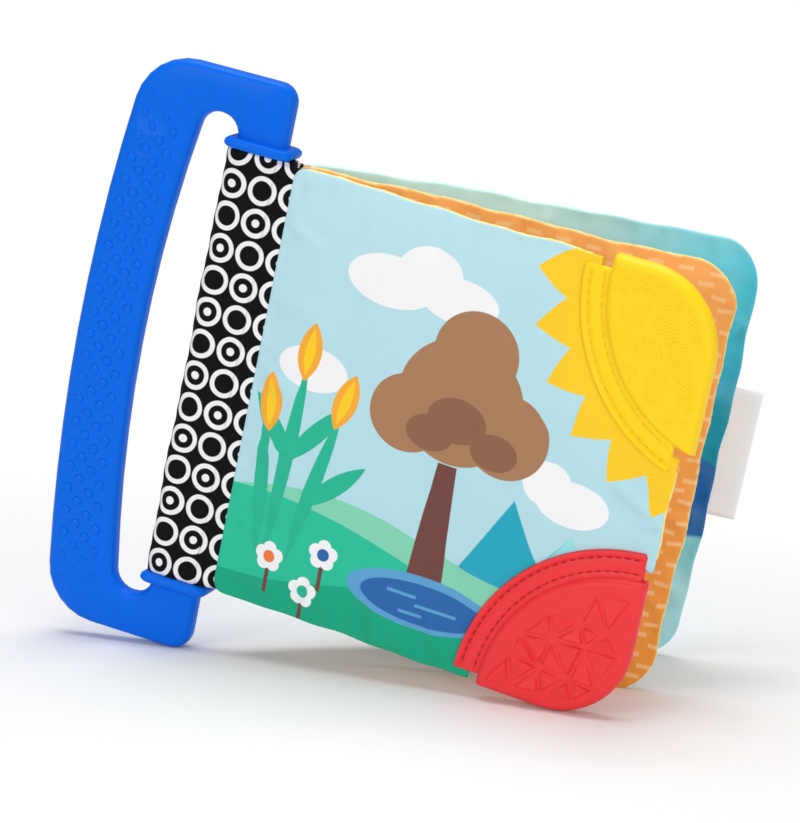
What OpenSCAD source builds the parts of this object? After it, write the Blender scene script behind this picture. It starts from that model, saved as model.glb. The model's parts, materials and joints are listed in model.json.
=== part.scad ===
// Soft baby book, standing fanned open: two padded cloth covers and a cloth page sewn
// to a sleeve that wraps the bar of a moulded teether handle. Two moulded teether
// corners are stitched to the front cover.
//
// Book frame: X runs from the spine to the free edges, Y from the front cover to the
// back cover, Z up the spine, with the origin in the middle of the handle's length.
// stand() then tips the book until the handle's foot and the front cover's teether
// share one floor.

/* [Leaves] */
// Width of the front cover and of the page, from hinge line to free edge
leaf_w = 141; // [120:1:180]
// Height of every leaf along the spine
leaf_h = 139; // [110:1:150]
// Thickness of a padded leaf at its middle
leaf_t = 5; // [3.5:0.1:6]
// Thickness of one cloth panel
panel_t = 0.6; // [0.4:0.1:0.8]
// Thickness of a leaf along its sewn edges
edge_t = 1.4; // [1.2:0.1:1.6]
// Width of the sewn border in which both panels lie together
seam_w = 2.5; // [1.5:0.1:5]
// Radius of the free corners of a leaf
leaf_corner_r = 14; // [8:1:24]
// Radius of the corners beside the spine
spine_corner_r = 4; // [3:0.5:8]
// How much wider the back cover is cut than the other leaves
back_extra_w = 6.5; // [0:0.5:12]

/* [Fan] */
// Swing of the front cover in front of the spine plane, in degrees
front_swing = 5; // [4:0.5:14]
// Swing of the page behind the spine plane, in degrees
page_swing = 8.5; // [5:0.5:10]
// Swing of the back cover behind the spine plane, in degrees
back_swing = 24; // [20:0.5:32]
// How far the back cover bows away from the page at its middle
back_bow = 8; // [5:0.5:12]
// Distance of both covers' hinge lines in front of the handle's edge
hinge_reach = 5.1; // [4.5:0.1:7]
// Distance from the spine plane to each cover's hinge line
hinge_offset = 4; // [4:0.1:6]
// Clearance round a hinged edge
hinge_clearance = 0.3; // [0.2:0.05:0.4]

/* [Handle] */
// Overall length of the handle along the spine
handle_len = 185.5; // [175:0.5:220]
// Reach of the handle from the bar's leaf side to the outside of the grip
handle_reach = 57; // [52:0.5:75]
// Thickness of the moulded handle
handle_t = 7.5; // [6.6:0.1:8]
// Width of the grip at its middle
grip_w = 21.4; // [16:0.2:24]
// Height of the bars across the two ends of the handle
end_bar_h = 13.7; // [11:0.1:16]
// Width of the straight bar that the sleeve wraps
bar_w = 16.2; // [12:0.1:17]
// Radius of the bowed outside of the grip
grip_bow_r = 600; // [400:10:900]
// Radius of the bowed inside of the grip
gap_bow_r = 450; // [350:10:700]
// Radius of the two outer corners of the handle
outer_corner_r = 18; // [12:1:24]
// Radius of the two corners beside the leaves
inner_corner_r = 6; // [4:0.5:8]
// Radius of the corners of the finger gap
gap_corner_r = 6.5; // [4:0.5:8]
// Radius that rounds every edge of the handle
handle_edge_r = 2.6; // [1.5:0.1:3]
// How far a collar stands proud of the bar
collar_proud = 3.2; // [2.4:0.1:4]
// Radius of the bead that forms a collar
collar_bead_r = 1.7; // [1.2:0.1:2]

/* [Grip dots] */
// Radius of a raised dot on the grip
dot_r = 1.5; // [1:0.1:1.7]
// How far a dot stands proud of the grip
dot_proud = 0.5; // [0.3:0.1:0.8]
// Spacing of the staggered dots along and across the grip
dot_pitch = 3.65; // [3.4:0.05:5]
// Height above and below the middle of the grip at which the dots end
dot_reach = 66; // [40:1:70]

/* [Sleeve] */
// Thickness of the padded cloth over the faces of the bar
sleeve_t = 1.2; // [0.8:0.1:1.3]
// Thickness of the padded cloth round the finger side of the bar
sleeve_side_t = 2.6; // [1.5:0.1:3]
// Half the thickness of the sleeve's seam, where the page is sewn in
seam_half_t = 3.2; // [2.6:0.1:3.2]
// Gap between each end of the sleeve and its collar
sleeve_end_gap = 0.2; // [0.1:0.1:0.5]
// Clearance round the bar inside the sleeve
bar_clearance = 0.1; // [0.05:0.05:0.2]

/* [Teether corners] */
// Radius of the sewn flange
flange_r = 56; // [50:1:60]
// Radius at which the thick pad meets the flange
pad_r = 47.5; // [42:0.5:48]
// Thickness of the chewing pad
pad_t = 7; // [6:0.1:8]
// Radius that rounds the pad's rim
pad_edge_r = 2.8; // [2:0.1:2.9]
// Thickness of each lip of the flange
lip_t = 1.1; // [0.8:0.1:1.4]
// How far the ends of a flange stop short of the leaf's edges
flange_inset = 2.5; // [1:0.5:4]
// How far the cloth reaches in between the lips
tongue_w = 6.5; // [5:0.5:7]
// Radius of the pads' outer corners
pad_corner_r = 25; // [18:1:28]
// Side of the triangles raised on the lower pad
relief_pitch = 9; // [7:0.5:12]
// How far the triangles stand proud of the pad
relief_proud = 0.3; // [0.2:0.05:0.5]
// Gap between neighbouring triangles
relief_gap = 1.1; // [0.8:0.1:2]
// Width of the plain rim round the triangles
relief_rim = 3.2; // [2.8:0.1:5]
// How far the lower pad stands out past the edges of the leaf
lower_overhang = 0.8; // [0.4:0.1:2]
// How far the upper pad stands out past the edges of the leaf
upper_overhang = 2.6; // [0.4:0.1:3]
// How far the upper flange's centre lies out past the leaf's free edge
upper_shift = 14; // [0:1:16]
// How far the upper flange's centre lies below the leaf's top edge
upper_drop = 4; // [0:0.5:6]

/* [Label] */
// Length of the sewn label along the back cover's edge
label_len = 42.5; // [25:0.5:50]
// How far the label stands out from the edge
label_w = 9; // [6:0.5:14]
// Thickness of the folded label
label_t = 0.5; // [0.4:0.1:0.8]
// Height of the label's middle above the middle of the spine
label_z = 2.5; // [0:0.5:20]

/* [Hidden] */
$fn = 64;

half_h = leaf_h / 2;
back_w = leaf_w + back_extra_w;
root_r = edge_t / 2;

// The bar's leaf side is the plane X = 0, and the hinge lines stand in front of it
bar_mid_x = -bar_w / 2;
seam_face_x = hinge_reach - root_r;
sleeve_half_t = handle_t / 2 + bar_clearance + sleeve_t;
sleeve_corner_r = handle_edge_r + bar_clearance + sleeve_t;
collar_z = half_h + hinge_clearance + collar_bead_r;
sleeve_half_h = collar_z - collar_bead_r - sleeve_end_gap;
gap_half_h = handle_len / 2 - end_bar_h;

// A corner of the handle that is tangent to a bowed side and to a straight end:
// the corner circle's centre, and the angle at which it meets the bow
function bow_corner(bow_r, reach, r, top) = let (
    cz = top - r,
    cx = bow_r - reach - sqrt(pow(bow_r - r, 2) - pow(cz, 2))
) [cx, cz, asin(cz / (bow_r - r))];
outer_corner = bow_corner(grip_bow_r, handle_reach, outer_corner_r, handle_len / 2);
gap_corner = bow_corner(gap_bow_r, handle_reach - grip_w, gap_corner_r, gap_half_h);

// The floor is tangent to the handle's foot corner and to the lower pad's corner
foot = [-inner_corner_r, inner_corner_r - handle_len / 2];
pad_foot = [hinge_reach + (leaf_w + lower_overhang - pad_corner_r) * cos(front_swing),
    pad_corner_r - half_h - lower_overhang];
foot_span = pad_foot - foot;
tilt = atan2(foot_span[1], foot_span[0])
    - asin((pad_corner_r - inner_corner_r) / norm(foot_span));

// How far a rounded corner reaches below the book's origin, and how far to the right
function drop(x, z, r) = r + x * sin(tilt) - z * cos(tilt);
function right(x, z, r) = x * cos(tilt) + z * sin(tilt) + r;
back_reach = hinge_reach + back_w * cos(back_swing);
lift = max(drop(foot[0], foot[1], inner_corner_r),
    drop(back_reach - leaf_corner_r, leaf_corner_r - half_h, leaf_corner_r));

// The middle of the whole book on the floor, from its outermost corners
left_x = outer_corner[0] * cos(tilt) - outer_corner[1] * sin(tilt) - outer_corner_r;
upper_pad_reach = hinge_reach
    + (leaf_w + upper_overhang - pad_corner_r) * cos(front_swing);
right_x = max(right(upper_pad_reach, half_h + upper_overhang - pad_corner_r, pad_corner_r),
    right(back_reach + label_w * cos(back_swing), label_z + label_len / 2, 0));
front_y = -hinge_offset - (leaf_w + upper_overhang) * sin(front_swing) - pad_t / 2;
back_y = hinge_offset + (back_w + label_w) * sin(back_swing);

module stand() {
    translate([-(left_x + right_x) / 2, -(front_y + back_y) / 2, lift])
        rotate([0, tilt, 0]) children();
}

// Places a leaf whose root lies on the hinge line at offset y, swung by angle a
module hung(y, a) {
    translate([hinge_reach, y, 0]) rotate([0, 0, a]) children();
}

module on_front_cover() {
    stand() hung(-hinge_offset, -front_swing) children();
}

module on_back_cover() {
    stand() hung(hinge_offset, back_swing) children();
}

// Extrudes an outline drawn in X-Z through a thickness along Y
module upright(t) {
    rotate([90, 0, 0]) linear_extrude(height = t, center = true) children();
}

// A plate outline from x0 to x1 with radius r0 at its two left corners, r1 at its right
module plate_outline(x0, x1, half, r0, r1) {
    translate([x0 + r0, -half]) square([x1 - r1 - x0 - r0, 2 * half]);
    translate([x0, r0 - half]) square([r0, 2 * (half - r0)]);
    translate([x1 - r1, r1 - half]) square([r1, 2 * (half - r1)]);
    for (s = [-1, 1]) {
        translate([x0 + r0, s * (half - r0)]) circle(r0);
        translate([x1 - r1, s * (half - r1)]) circle(r1);
    }
}

// A leaf is a grid of points inside its sewn border, with a ring of points on its edge.
// Lines run up the leaf at stations across its width, closer together at the corners.
corner_lines = 3;
span_lines = 8;
line_count = 2 * corner_lines + span_lines;
row_count = 10;
crown_w = 18;
root_corner_r = max(spine_corner_r, seam_w + 0.5);
free_corner_r = max(leaf_corner_r, seam_w + 0.5);
function leaf_stations(w) = concat(
    [for (i = [0:corner_lines])
        root_corner_r - (root_corner_r - seam_w) * cos(90 * i / corner_lines)],
    [for (i = [1:span_lines - 1])
        root_corner_r + (w - root_corner_r - free_corner_r) * (1 - cos(180 * i / span_lines)) / 2],
    [for (i = [0:corner_lines])
        w - free_corner_r + (free_corner_r - seam_w) * sin(90 * i / corner_lines)]);

// Half the height inside the sewn border at station u
function arc_fall(d, r) = r - sqrt(max(r * r - d * d, 0));
function inner_half_h(w, u) = half_h - seam_w
    - (u < root_corner_r ? arc_fall(root_corner_r - u, root_corner_r - seam_w) : 0)
    - (u > w - free_corner_r ? arc_fall(u - w + free_corner_r, free_corner_r - seam_w) : 0);
function leaf_grid(w) = [for (u = leaf_stations(w), j = [0:row_count])
    [u, -cos(180 * j / row_count) * inner_half_h(w, u)]];

// Triangles of the grid's cells, and the points round its border
function cell_faces(n, m) = [for (i = [0:n - 1], j = [0:m - 1]) let (k = i * (m + 1) + j)
    each (i < n / 2) == (j < m / 2)
        ? [[k, k + m + 2, k + m + 1], [k, k + 1, k + m + 2]]
        : [[k, k + 1, k + m + 1], [k + m + 1, k + 1, k + m + 2]]];
function border(n, m) = concat(
    [for (i = [0:n - 1]) i * (m + 1)],
    [for (j = [0:m - 1]) n * (m + 1) + j],
    [for (i = [n:-1:1]) i * (m + 1) + m],
    [for (j = [m:-1:1]) j]);
function on_border(k, n, m) = let (i = floor(k / (m + 1)), j = k % (m + 1))
    i == 0 || i == n || j == 0 || j == m;
function flipped(faces) = [for (f = faces) [f[0], f[2], f[1]]];
function shifted(faces, d) = [for (f = faces) [f[0] + d, f[1] + d, f[2] + d]];

// The point of the leaf's edge that lies beside a point of the border's inner line
function edge_point(w, p) = let (
    r = p[0] < w / 2 ? root_corner_r : free_corner_r,
    centre = [min(max(p[0], root_corner_r), w - free_corner_r),
        min(max(p[1], r - half_h), half_h - r)]
) centre + (p - centre) * r / (r - seam_w);

// How full the padding is at a distance inside the sewn border
function fullness(d) = 1 - pow(1 - min(max(d, 0) / crown_w, 1), 2);
function half_t(w, p) = edge_t / 2 + (leaf_t - edge_t) / 2
    * fullness(min(p[0], w - p[0]) - seam_w) * fullness(half_h - abs(p[1]) - seam_w);
function bowed(w, bow, p, y) = [p[0], y + 4 * bow * (p[0] / w) * (1 - p[0] / w), p[1]];

// A closed leaf-shaped solid. lower and upper give the Y of its two faces, each as
// [share of the leaf's half thickness, offset, Y along the sewn border].
module leaf_solid(w, bow, lower, upper) {
    n = line_count;
    m = row_count;
    grid = leaf_grid(w);
    loop = border(n, m);
    inside = len(grid);
    rim = len(loop);
    all = inside + rim;
    function height(s, k) = on_border(k, n, m) ? s[2] : s[0] * half_t(w, grid[k]) + s[1];
    function sheet_points(s) = concat(
        [for (k = [0:inside - 1]) bowed(w, bow, grid[k], height(s, k))],
        [for (k = loop) bowed(w, bow, edge_point(w, grid[k]), s[2])]);
    ring = [for (i = [0:rim - 1]) let (
        a = loop[i],
        b = loop[(i + 1) % rim],
        c = inside + (i + 1) % rim,
        d = inside + i
    ) each [[a, b, c], [a, c, d]]];
    wall = [for (i = [0:rim - 1]) let (c = inside + (i + 1) % rim, d = inside + i)
        each [[d, c, all + c], [d, all + c, all + d]]];
    skin = concat(cell_faces(n, m), ring);
    polyhedron(points = concat(sheet_points(lower), sheet_points(upper)),
        faces = concat(skin, shifted(flipped(skin), all), wall));
}

// The padding between the two panels, which meets the sewn border in a sharp edge
module leaf_filling(w, bow) {
    n = line_count;
    m = row_count;
    grid = leaf_grid(w);
    inside = len(grid);
    function height(k) = on_border(k, n, m) ? 0 : half_t(w, grid[k]) - panel_t;
    function upper(k) = on_border(k, n, m) ? k : inside + k;
    skin = cell_faces(n, m);
    polyhedron(points = concat(
        [for (k = [0:inside - 1]) bowed(w, bow, grid[k], -height(k))],
        [for (k = [0:inside - 1]) bowed(w, bow, grid[k], height(k))]
    ), faces = concat(skin, [for (f = flipped(skin)) [upper(f[0]), upper(f[1]), upper(f[2])]]));
}

// The panel on the -Y side of a leaf or the +Y side, and the whole leaf's half there
module panel(w, bow, side) {
    if (side < 0)
        leaf_solid(w, bow, [-1, 0, -edge_t / 2], [-1, panel_t, 0]);
    else
        leaf_solid(w, bow, [1, -panel_t, 0], [1, 0, edge_t / 2]);
}

module half_leaf(w, side) {
    if (side < 0)
        leaf_solid(w, 0, [-1, 0, -edge_t / 2], [0, 0, 0]);
    else
        leaf_solid(w, 0, [0, 0, 0], [1, 0, edge_t / 2]);
}

// The round edge along a hinge line, on which a cover turns
module hinged_root() {
    difference() {
        translate([0, 0, root_corner_r - half_h])
            cylinder(r = root_r, h = leaf_h - 2 * root_corner_r);
        translate([0, -edge_t, -half_h]) cube([edge_t, 2 * edge_t, leaf_h]);
    }
}

// The teethers' flange centres on the front cover, in X-Z
lower_centre = [leaf_w, -half_h];
upper_centre = [leaf_w + upper_shift, half_h - upper_drop];

module both_discs(r, t) {
    for (centre = [lower_centre, upper_centre])
        upright(t) translate(centre) circle(r, $fn = 128);
}

// The cloth tongue that lies between a flange's lips, on one side of the middle
module tongues(side) {
    translate([0, side * edge_t / 4, 0])
        for (centre = [lower_centre, upper_centre])
            upright(edge_t / 2) difference() {
                intersection() {
                    translate(centre) circle(flange_r, $fn = 128);
                    plate_outline(0, leaf_w, half_h, root_corner_r, free_corner_r);
                }
                translate(centre) circle(flange_r - tongue_w, $fn = 128);
            }
}

// The front cover's cloth on one side: the panel, drawn in to the middle beside the
// flanges' stitching
module front_cover_panel(side) {
    difference() {
        union() {
            panel(leaf_w, 0, side);
            intersection() {
                half_leaf(leaf_w, side);
                both_discs(flange_r + seam_w, 4 * leaf_t);
            }
        }
        both_discs(flange_r, 8 * leaf_t);
    }
    tongues(side);
}

// The chewing pad, a thick wedge with a rounded rim
module pad_slice(centre, overhang, t, inset) {
    upright(t) intersection() {
        translate(centre) circle(pad_r - inset, $fn = 96);
        plate_outline(leaf_w - pad_r - pad_corner_r, leaf_w + overhang - inset,
            half_h + overhang - inset, pad_corner_r - inset, pad_corner_r - inset);
    }
}

module corner_pad(centre, overhang) {
    hull() {
        for (a = [0:30:90])
            pad_slice(centre, overhang, pad_t - 2 * pad_edge_r * (1 - sin(a)),
                pad_edge_r * (1 - cos(a)));
    }
}

// Packed triangles on a wandering grid, two to a cell, kept where the pad has room
relief_rows = 6;
wander = relief_pitch / 6;
function relief_point(centre, i, j) = let (turn = i * 679 + j * 1261)
    centre + [wander * sin(turn) - (i + (j % 2) / 2) * relief_pitch,
        wander * cos(turn) + j * relief_pitch * sin(60)];
function cell_triangles(c, i, j) = let (
    a = relief_point(c, i, j),
    b = relief_point(c, i + 1, j),
    d = relief_point(c, i, j + 1),
    e = relief_point(c, i + 1, j + 1)
) j % 2 == 0 ? [[a, b, d], [b, e, d]] : [[a, b, e], [a, e, d]];
function drawn_in(t, d) = let (
    sides = [norm(t[1] - t[2]), norm(t[2] - t[0]), norm(t[0] - t[1])],
    girth = sides[0] + sides[1] + sides[2],
    middle = (t[0] * sides[0] + t[1] * sides[1] + t[2] * sides[2]) / girth,
    r = norm(cross(concat(t[1] - t[0], 0), concat(t[2] - t[0], 0))) / girth
) [for (p = t) middle + (p - middle) * (1 - d / r)];
function pad_room(p, centre, overhang) = let (
    x = p[0] - leaf_w - overhang + pad_corner_r,
    z = abs(p[1]) - half_h - overhang + pad_corner_r
) min(pad_r - norm(p - centre),
    pad_corner_r - norm([max(x, 0), max(z, 0)]) - min(max(x, z), 0));
function has_room(t, centre, overhang) =
    min([for (p = drawn_in(t, relief_gap / 2)) pad_room(p, centre, overhang)]) > relief_rim;

module pad_relief(centre, overhang) {
    for (i = [-1:relief_rows], j = [0:relief_rows], t = cell_triangles(centre, i, j))
        if (has_room(t, centre, overhang))
            hull() {
                upright(pad_t) polygon(drawn_in(t, relief_gap / 2));
                upright(pad_t + 2 * relief_proud)
                    polygon(drawn_in(t, relief_gap / 2 + relief_proud));
            }
}

module corner_teether(centre, overhang) {
    corner_pad(centre, overhang);
    difference() {
        upright(edge_t + 2 * lip_t) intersection() {
            translate(centre) circle(flange_r, $fn = 128);
            plate_outline(0, leaf_w - flange_inset, half_h - flange_inset,
                root_corner_r, free_corner_r);
        }
        upright(edge_t) difference() {
            translate([0, -leaf_h]) square([2 * leaf_w, 2 * leaf_h]);
            translate(centre) circle(flange_r - tongue_w, $fn = 128);
        }
    }
}

// Outline of the handle as pairs of an outside and an inside point, each with how far
// the section swells there, going up the bar, over the top and down the grip
function arc_point(c, r, a) = [c[0] + r * cos(a), c[1] + r * sin(a)];
corner_steps = 6;
grip_steps = 10;
bead_steps = 6;
top_turn = [for (i = [0:corner_steps]) let (f = i / corner_steps)
    [arc_point([-inner_corner_r, handle_len / 2 - inner_corner_r], inner_corner_r, 90 * f),
     arc_point([-bar_w - gap_corner_r, gap_half_h - gap_corner_r], gap_corner_r, 90 * f),
     0]];
grip_turn = [for (i = [0:corner_steps]) let (f = i / corner_steps)
    [arc_point(outer_corner, outer_corner_r, 90 + (90 - outer_corner[2]) * f),
     arc_point(gap_corner, gap_corner_r, 90 + (90 - gap_corner[2]) * f),
     0]];
grip_side = [for (i = [1:grip_steps - 1]) let (f = 1 - 2 * i / grip_steps)
    [arc_point([grip_bow_r - handle_reach, 0], grip_bow_r, 180 - outer_corner[2] * f),
     arc_point([gap_bow_r - handle_reach + grip_w, 0], gap_bow_r, 180 - gap_corner[2] * f),
     0]];
bead = concat(
    [[-collar_bead_r, 0]],
    [for (i = [0:bead_steps]) let (a = 180 - 180 * i / bead_steps)
        [collar_bead_r * cos(a), collar_proud - collar_bead_r * (1 - sin(a))]],
    [[collar_bead_r, 0]]);
bar_side = [for (s = [-1, 1], b = bead)
    [[0, s * collar_z + b[0]], [-bar_w, s * collar_z + b[0]], b[1]]];
function mirrored(list) = [for (i = [len(list) - 1:-1:0])
    [[list[i][0][0], -list[i][0][1]], [list[i][1][0], -list[i][1][1]], list[i][2]]];
handle_loop = concat(bar_side, top_turn, grip_turn, grip_side,
    mirrored(grip_turn), mirrored(top_turn));

// One rounded section of the handle, from its outside point across to its inside point
edge_steps = 3;
function section(s) = let (
    across = (s[1] - s[0]) / norm(s[1] - s[0]),
    start = s[0] - across * s[2],
    w = norm(s[1] - s[0]) + 2 * s[2],
    half_t = handle_t / 2 + s[2],
    e = handle_edge_r
) [for (q = [0:3], i = [0:edge_steps]) let (
    a = 90 * (q + i / edge_steps),
    u = (q == 1 || q == 2 ? e : w - e) + e * cos(a),
    y = (q < 2 ? half_t - e : e - half_t) + e * sin(a),
    p = start + across * u
) [p[0], y, p[1]]];

// A closed ring of sections joined into one solid
module ring_loft(sections) {
    n = len(sections);
    m = len(sections[0]);
    polyhedron(points = [for (s = sections, p = s) p], faces = [
        for (i = [0:n - 1], j = [0:m - 1]) let (
            a = i * m + j,
            b = i * m + (j + 1) % m,
            c = ((i + 1) % n) * m + (j + 1) % m,
            d = ((i + 1) % n) * m + j
        ) each [[a, b, c], [a, c, d]]
    ]);
}

// The staggered dots on both faces of the grip, which follow its bow
dot_rows = floor(dot_reach / dot_pitch);
dot_columns = floor((grip_w - 2 * handle_edge_r - 2 * dot_r) / dot_pitch);
function bow_in(z) = grip_bow_r - sqrt(pow(grip_bow_r, 2) - pow(z, 2));
module grip_dots() {
    for (row = [-dot_rows:dot_rows], column = [0:dot_columns], side = [-1, 1])
        if ((row + column) % 2 == 0)
            translate([bow_in(row * dot_pitch) - handle_reach
                + grip_w / 2 + (column - dot_columns / 2) * dot_pitch, 0, row * dot_pitch])
                rotate([side * -90, 0, 0]) translate([0, 0, handle_t / 2 - dot_proud])
                    hull() {
                        cylinder(r = dot_r, h = dot_proud, $fn = 6);
                        cylinder(r = dot_r / 2, h = 2 * dot_proud, $fn = 6);
                    }
}

module teether_handle() {
    color("royalblue") stand() {
        ring_loft([for (s = handle_loop) section(s)]);
        grip_dots();
    }
}

module bar_outline(grow) {
    e = handle_edge_r + grow;
    translate([bar_mid_x, 0]) rotate(90)
        plate_outline(-handle_t / 2 - grow, handle_t / 2 + grow, bar_w / 2 + grow, e, e);
}

module sleeve_outline() {
    left = -bar_w - bar_clearance - sleeve_side_t + sleeve_corner_r;
    hull() {
        for (s = [-1, 1]) {
            translate([left, s * (sleeve_half_t - sleeve_corner_r)])
                circle(sleeve_corner_r);
            translate([-handle_edge_r, s * (sleeve_half_t - sleeve_corner_r)])
                circle(sleeve_corner_r);
        }
        translate([0, -seam_half_t]) square([seam_face_x, 2 * seam_half_t]);
    }
}

module spine_sleeve() {
    color("black") stand() linear_extrude(height = 2 * sleeve_half_h, center = true)
        difference() {
            sleeve_outline();
            bar_outline(bar_clearance);
        }
}

module page() {
    color("sandybrown") stand()
        translate([seam_face_x + root_r * sin(page_swing), 0, 0]) rotate([0, 0, page_swing])
            leaf_solid(leaf_w, 0, [-1, 0, -edge_t / 2], [1, 0, edge_t / 2]);
}

module front_cover_face() {
    color("lightblue") on_front_cover() {
        front_cover_panel(-1);
        hinged_root();
    }
}

module front_cover_lining() {
    color("khaki") on_front_cover() front_cover_panel(1);
}

module front_cover_padding() {
    color("white") on_front_cover() difference() {
        leaf_filling(leaf_w, 0);
        both_discs(flange_r + seam_w, 4 * leaf_t);
    }
}

module red_corner_teether() {
    color("crimson") on_front_cover() {
        corner_teether(lower_centre, lower_overhang);
        pad_relief(lower_centre, lower_overhang);
    }
}

module yellow_corner_teether() {
    color("gold") on_front_cover() corner_teether(upper_centre, upper_overhang);
}

module back_cover_face() {
    color("darkturquoise") on_back_cover() {
        panel(back_w, back_bow, 1);
        hinged_root();
    }
}

module back_cover_lining() {
    color("paleturquoise") on_back_cover() panel(back_w, back_bow, -1);
}

module back_cover_padding() {
    color("white") on_back_cover() leaf_filling(back_w, back_bow);
}

module sewn_label() {
    color("white") on_back_cover()
        translate([back_w, -label_t / 2, label_z - label_len / 2])
            cube([label_w, label_t, label_len]);
}

teether_handle();
spine_sleeve();
page();
front_cover_face();
front_cover_lining();
front_cover_padding();
red_corner_teether();
yellow_corner_teether();
back_cover_face();
back_cover_lining();
back_cover_padding();
sewn_label();
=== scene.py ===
import json
import math

import bpy
import numpy as np
from mathutils import Matrix, Vector
from mathutils.geometry import delaunay_2d_cdt


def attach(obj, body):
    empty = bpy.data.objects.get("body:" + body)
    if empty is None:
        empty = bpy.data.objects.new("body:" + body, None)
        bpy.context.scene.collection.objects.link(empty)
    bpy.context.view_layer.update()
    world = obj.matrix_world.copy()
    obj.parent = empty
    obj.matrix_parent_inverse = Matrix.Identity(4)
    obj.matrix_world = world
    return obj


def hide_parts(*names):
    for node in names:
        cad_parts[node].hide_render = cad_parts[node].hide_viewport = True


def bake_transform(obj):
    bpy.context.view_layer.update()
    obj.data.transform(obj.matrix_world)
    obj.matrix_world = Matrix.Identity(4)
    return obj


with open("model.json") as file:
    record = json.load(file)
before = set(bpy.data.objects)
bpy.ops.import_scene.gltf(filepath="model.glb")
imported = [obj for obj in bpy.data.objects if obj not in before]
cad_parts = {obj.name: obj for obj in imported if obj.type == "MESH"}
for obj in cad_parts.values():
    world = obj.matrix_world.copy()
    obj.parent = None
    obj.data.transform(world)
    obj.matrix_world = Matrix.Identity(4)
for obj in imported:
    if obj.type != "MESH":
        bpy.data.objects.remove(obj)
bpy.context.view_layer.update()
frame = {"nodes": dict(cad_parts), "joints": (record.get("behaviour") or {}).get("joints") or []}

# Sizes of the book, in millimetres, as the solids have them
LEAF_W, HALF_H = 141.0, 69.5
BACK_W = LEAF_W + 6.5
LEAF_T, EDGE_T, SEAM_W, CROWN_W = 5.0, 1.4, 2.5, 18.0
FREE_R, ROOT_R = 14.0, 4.0
HINGE_REACH, HINGE_OFFSET = 5.1, 4.0
FRONT_SWING, PAGE_SWING, BACK_SWING = -5.0, 8.5, 24.0
BACK_BOW = 8.0
SEAM_FACE_X, SEAM_HALF_T = 4.1, 3.2
BAR_W, SLEEVE_HALF_T, SLEEVE_SIDE_T, SLEEVE_HALF_H = 16.2, 5.05, 2.7, 69.6
SLEEVE_R = 3.9
FLANGE_R, FLANGE_INSET = 56.0, 2.5
PAD_R, PAD_T, PAD_CORNER_R = 47.5, 7.0, 25.0
LOWER_CENTRE, LOWER_OVERHANG = (141.0, -69.5), 0.8
UPPER_CENTRE, UPPER_OVERHANG = (155.0, 65.5), 2.6
HANDLE_T, HANDLE_REACH, GRIP_W, GRIP_BOW_R = 7.5, 57.0, 21.4, 600.0
LABEL_W, LABEL_LEN, LABEL_T, LABEL_Z, LABEL_SEAM = 9.0, 42.5, 0.5, 2.5, 1.4
DOT_PITCH, DOT_ROWS, DOT_COLUMNS, DOT_R, DOT_H = 3.65, 18, 3, 1.6, 0.64
STITCH_LEN, STITCH_GAP, STITCH_R, STITCH_SINK = 2.1, 0.9, 0.24, 0.2
# The two grooves of a flange, each with its radius and the height of its stitches
FLANGE_GROOVES = ((53.4, 1.45), (49.1, 1.4))
# How far the pads reach past the leaf's side, fitted to the photograph
LOWER_REACH, UPPER_REACH = -0.7, 4.2
FLANGE_OUTLINE = (0, LEAF_W - FLANGE_INSET, HALF_H - FLANGE_INSET, ROOT_R, FREE_R)
MM = 0.001

# The book's own axes in the row frame, read from the hinges
hinges = {j["name"]: j for j in frame["joints"]}
SIN, _, COS = hinges["front_cover_hinge"]["axis"]
hinge_middle = np.add(hinges["front_cover_hinge"]["pos_m"],
                      hinges["back_cover_hinge"]["pos_m"]) / 2
BOOK_ORIGIN = hinge_middle - MM * HINGE_REACH * np.array([COS, 0.0, -SIN])


def book(points):
    """Points of the book's frame, in millimetres, in the row frame in metres."""
    p = np.asarray(points, float) * MM
    x, y, z = p[..., 0], p[..., 1], p[..., 2]
    return np.stack([x * COS + z * SIN, y, z * COS - x * SIN], -1) + BOOK_ORIGIN


def leaf_frame(root, swing, bow=0.0, width=LEAF_W):
    """A function that places points (u across the leaf, n off its plane, z up it)."""
    c, s = math.cos(math.radians(swing)), math.sin(math.radians(swing))

    def place(points):
        p = np.asarray(points, float)
        u, z = p[..., 0], p[..., 2]
        n = p[..., 1] + 4 * bow * (u / width) * (1 - u / width)
        return book(np.stack([root[0] + u * c - n * s, root[1] + u * s + n * c, z], -1))
    return place


on_front = leaf_frame((HINGE_REACH, -HINGE_OFFSET), FRONT_SWING)
on_back = leaf_frame((HINGE_REACH, HINGE_OFFSET), BACK_SWING, BACK_BOW, BACK_W)
on_page = leaf_frame((SEAM_FACE_X + EDGE_T / 2 * math.sin(math.radians(PAGE_SWING)), 0.0),
                     PAGE_SWING)


# Outlines and heights of the leaves and the teethers

def leaf_outline(width):
    return 0, width, HALF_H, ROOT_R, FREE_R


def reach_of(p, centre):
    """How far each point lies from a centre."""
    return np.hypot(p[:, 0] - centre[0], p[:, 1] - centre[1])


def plate_depth(p, x0, x1, half, r0, r1):
    """How far inside a plate with rounded corners each point (u, z) lies."""
    left = p[:, 0] < (x0 + x1) / 2
    r = np.where(left, r0, r1)
    across = np.where(left, x0 + r - p[:, 0], p[:, 0] - x1 + r)
    along = np.abs(p[:, 1]) - half + r
    outside = np.hypot(np.maximum(across, 0), np.maximum(along, 0))
    return r - outside - np.minimum(np.maximum(across, along), 0)


def clear_of(p, discs):
    """How far each point lies outside the flanges' circles."""
    return np.min([np.full(len(p), 1e3)] + [reach_of(p, c) - FLANGE_R for c in discs], axis=0)


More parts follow.
